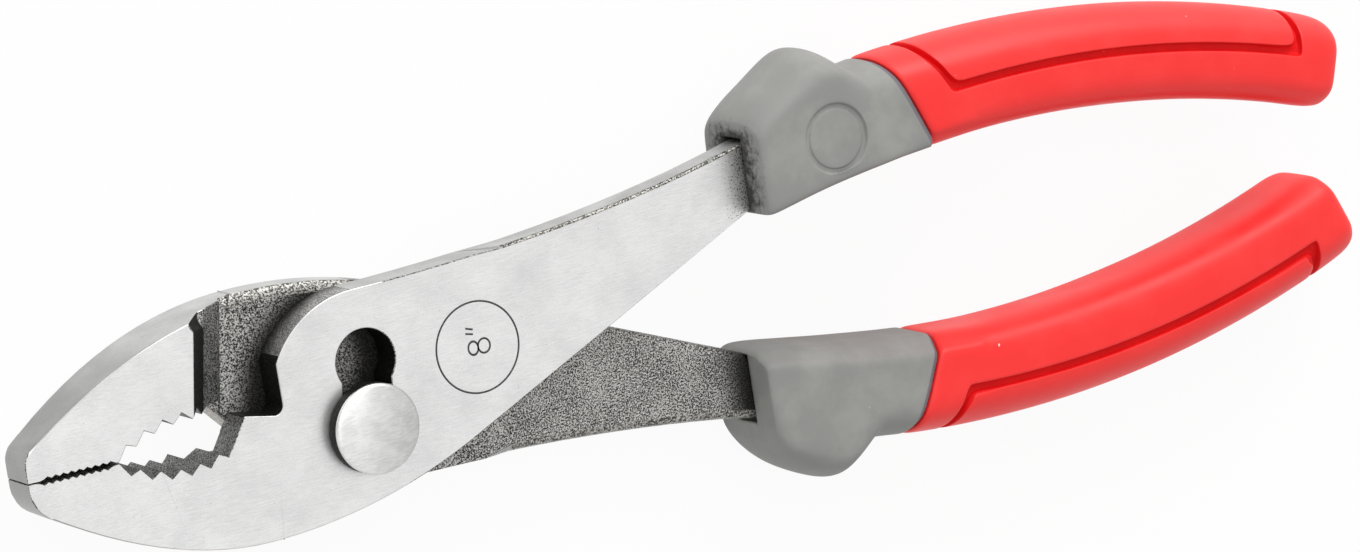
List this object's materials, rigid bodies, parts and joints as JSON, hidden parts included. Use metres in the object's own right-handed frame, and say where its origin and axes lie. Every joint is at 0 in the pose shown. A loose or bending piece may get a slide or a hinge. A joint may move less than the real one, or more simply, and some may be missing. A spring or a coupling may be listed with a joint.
{
  "type": "slip joint pliers",
  "caption": "Slip joint pliers with forged ground-steel halves, a two-position pivot slot, a serrated nose, a toothed pipe grip and two-material hand grips with finger guards.",
  "frame": {"origin": "middle of the bottom of the closed pliers' box, lying on the back of the lower grip", "axes": "+X from the nose to the handles' ends, +Y from the lower handle to the upper handle, +Z along the pivot axis towards the bolt head"},
  "size_m": [0.2042, 0.0598, 0.0218],
  "materials": {
    "forged_steel": "faces ground bright with fine lines, edges left as forged",
    "bolt_steel": "turned and brushed",
    "grey_moulding": "satin moulded plastic",
    "red_moulding": "satin soft-touch moulding"
  },
  "bodies": {
    "front": {"front_half": "forged_steel", "upper_grip_core": "grey_moulding", "upper_grip_cover": "red_moulding"},
    "bolt": {"pivot_bolt": "bolt_steel", "pivot_nut": "bolt_steel"},
    "rear": {"rear_half": "forged_steel", "lower_grip_core": "grey_moulding", "lower_grip_cover": "red_moulding"}
  },
  "joints": [
    {"name": "slip", "type": "slide", "parent": "front", "child": "bolt", "axis": [0.0976, 0.9952, 0], "range_m": [0, 0.0086]},
    {"name": "pivot", "type": "hinge", "parent": "bolt", "child": "rear", "pos_m": [-0.05526, -0.00498, 0.0109], "axis": [0, 0, -1], "range_deg": [0, 50]}
  ]
}
